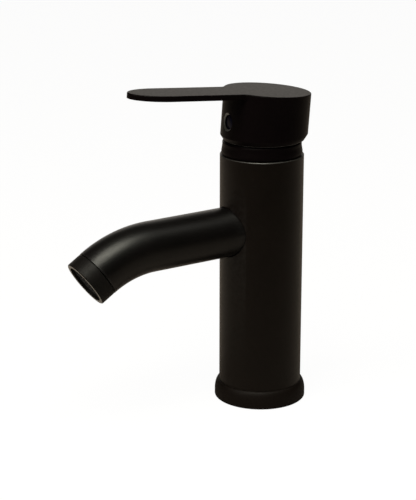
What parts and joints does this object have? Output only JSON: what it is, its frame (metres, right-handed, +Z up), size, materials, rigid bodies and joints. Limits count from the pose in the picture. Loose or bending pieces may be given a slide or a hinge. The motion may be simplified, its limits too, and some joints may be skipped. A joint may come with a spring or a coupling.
{
  "type": "single-lever basin mixer faucet",
  "caption": "Matt black basin mixer: tubular body on a round flange, curved spout with aerator, and a flat lever that lifts for flow and turns for temperature.",
  "frame": {"origin": "centre of the base flange's underside, on the deck", "axes": "+Z up along the body, -Y forward along the spout and the lever, hot inlet on the -X side"},
  "size_m": [0.05, 0.1392, 0.1781],
  "materials": {
    "black_paint": "matt black paint, slightly satin",
    "black_collar": "matt black paint on a turned collar",
    "brass": "turned",
    "copper": "drawn copper tube",
    "steel": "ground",
    "rubber": "matt",
    "seal_red": "matt silicone",
    "cartridge_white": "moulded",
    "glide_grey": "moulded",
    "aerator_plastic": "moulded, pale grey",
    "ceramic": "lapped ceramic",
    "index_blue": "dark blue moulded plug"
  },
  "bodies": {
    "faucet_body": {"base_gasket": "rubber", "base_ring": "black_paint", "inlet_block": "brass", "hot_riser": "copper", "cold_riser": "copper", "cartridge_seat": "brass", "lower_seat_seal": "rubber", "upper_seat_seal": "rubber", "body_shell": "black_paint", "spout_tube": "black_paint", "aerator_housing": "black_collar", "aerator_washer": "rubber", "aerator_screen": "steel", "aerator_insert": "aerator_plastic", "hot_port_seal": "seal_red", "cold_port_seal": "seal_red", "outlet_port_seal": "seal_red", "cartridge_base": "cartridge_white", "disc_seal": "seal_red", "fixed_disc": "ceramic", "cartridge_housing": "cartridge_white", "glide_ring": "glide_grey", "cartridge_nut": "brass", "neck_cover": "black_paint"},
    "rotor_set": {"rotor": "cartridge_white", "pivot_pin": "steel"},
    "disc_set": {"moving_disc": "ceramic", "disc_carrier": "glide_grey"},
    "handle_set": {"lever_stem": "brass", "handle": "black_paint", "handle_screw": "steel", "index_plug": "index_blue"}
  },
  "joints": [
    {"name": "handle_turn", "type": "hinge", "parent": "faucet_body", "child": "rotor_set", "pos_m": [0, 0, 0.139], "axis": [0, 0, 1], "range_deg": [-45, 45]},
    {"name": "handle_lift", "type": "hinge", "parent": "rotor_set", "child": "handle_set", "pos_m": [0, 0, 0.139], "axis": [-1, 0, 0], "range_deg": [0, 18]},
    {"name": "disc_slide", "type": "slide", "parent": "rotor_set", "child": "disc_set", "axis": [0, -1, 0], "range_m": [0, 0.00275]}
  ],
  "couplings": [
    {"joint": "disc_slide", "follows": "handle_lift", "m_per_rad": 0.008715}
  ]
}
